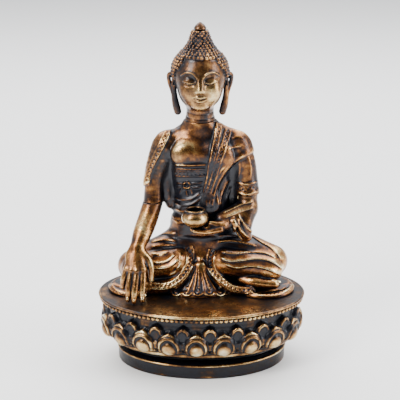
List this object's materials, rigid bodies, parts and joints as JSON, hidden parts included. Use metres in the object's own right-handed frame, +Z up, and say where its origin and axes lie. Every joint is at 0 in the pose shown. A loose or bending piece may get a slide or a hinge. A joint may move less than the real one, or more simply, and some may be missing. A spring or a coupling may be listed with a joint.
{
  "type": "seated buddha statue",
  "caption": "Seated Buddha in the earth-touching pose with an alms bowl, on an oval lotus throne, in aged copper alloy.",
  "frame": {"origin": "middle of the throne's flat resting face", "axes": "+Z up, the figure faces -Y, its right hand is on the -X side"},
  "size_m": [0.123, 0.086, 0.2],
  "materials": {
    "lotus_throne": "aged copper alloy, dark patina in the hollows, worn bright on the high spots",
    "beaded_rim": "aged copper alloy, dark patina in the hollows, worn bright on the high spots",
    "crossed_legs": "aged copper alloy, dark patina in the hollows, worn bright on the high spots",
    "torso": "aged copper alloy, dark patina in the hollows, worn bright on the high spots",
    "right_forearm": "aged copper alloy, dark patina in the hollows, worn bright on the high spots",
    "left_forearm": "aged copper alloy, dark patina in the hollows, worn bright on the high spots",
    "alms_bowl": "aged copper alloy, dark patina in the hollows, worn bright on the high spots",
    "head": "aged copper alloy, dark patina in the hollows, worn bright on the high spots",
    "crown_jewel": "aged copper alloy, dark patina in the hollows, worn bright on the high spots",
    "base_plate": "hammered copper sheet, dulled",
    "pin_metal": "dull drawn brass",
    "scroll_paper": "rolled handmade paper",
    "scroll_thread": "twisted cotton thread",
    "life_stick": "planed softwood"
  },
  "bodies": {
    "root": {"alms_bowl": "alms_bowl", "base_plate": "base_plate", "base_plate_pins": "pin_metal", "base_scrolls": "scroll_paper", "beaded_rim": "beaded_rim", "crossed_legs": "crossed_legs", "crown_jewel": "crown_jewel", "head": "head", "heart_scroll": "scroll_paper", "left_cuff_pin": "pin_metal", "left_forearm": "left_forearm", "life_stick": "life_stick", "lotus_throne": "lotus_throne", "neck_pin": "pin_metal", "right_elbow_pin": "pin_metal", "right_forearm": "right_forearm", "scroll_threads": "scroll_thread", "tang_pins": "pin_metal", "torso": "torso", "waist_pins": "pin_metal"}
  },
  "joints": []
}
